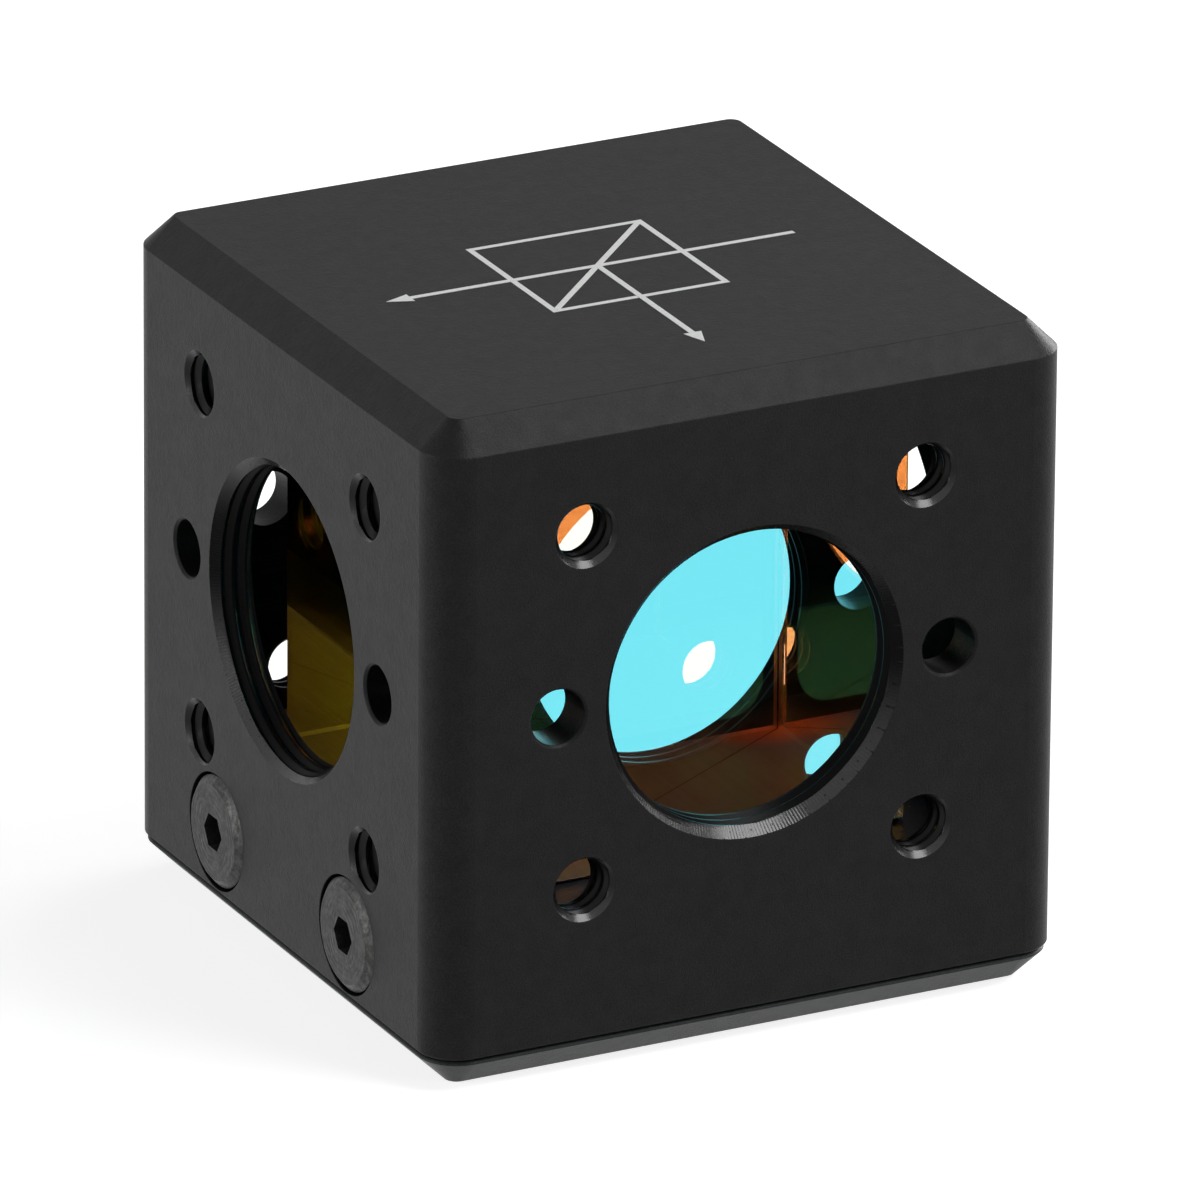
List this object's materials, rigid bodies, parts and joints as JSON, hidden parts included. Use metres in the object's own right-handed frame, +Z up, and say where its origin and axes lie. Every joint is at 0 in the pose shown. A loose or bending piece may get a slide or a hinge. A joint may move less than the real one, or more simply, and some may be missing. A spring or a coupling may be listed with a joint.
{
  "type": "mounted beamsplitter cube",
  "caption": "Cemented glass cube in a black anodised housing that splits a beam at its diagonal, with threaded ports and tapped holes for a cage system.",
  "frame": {"origin": "centre of the underside of the base plate", "axes": "+Z up; -Y out of the front port, where the split beam leaves; -X out of the left port, where the straight beam leaves; +X towards the beam's entrance"},
  "size_m": [0.0302, 0.0298, 0.03],
  "materials": {
    "housing": "bead blasted, black anodised, matt",
    "base_plate": "bead blasted, black anodised, matt",
    "front_prism": "polished, coated on the ports' side and on the diagonal",
    "rear_prism": "polished, coated on the ports' side",
    "screws": "turned, dark oxide"
  },
  "bodies": {
    "root": {"housing": "housing", "base_plate": "base_plate", "front_prism": "front_prism", "rear_prism": "rear_prism", "left_screw_front": "screws", "left_screw_rear": "screws", "right_screw_front": "screws", "right_screw_rear": "screws"}
  },
  "joints": []
}
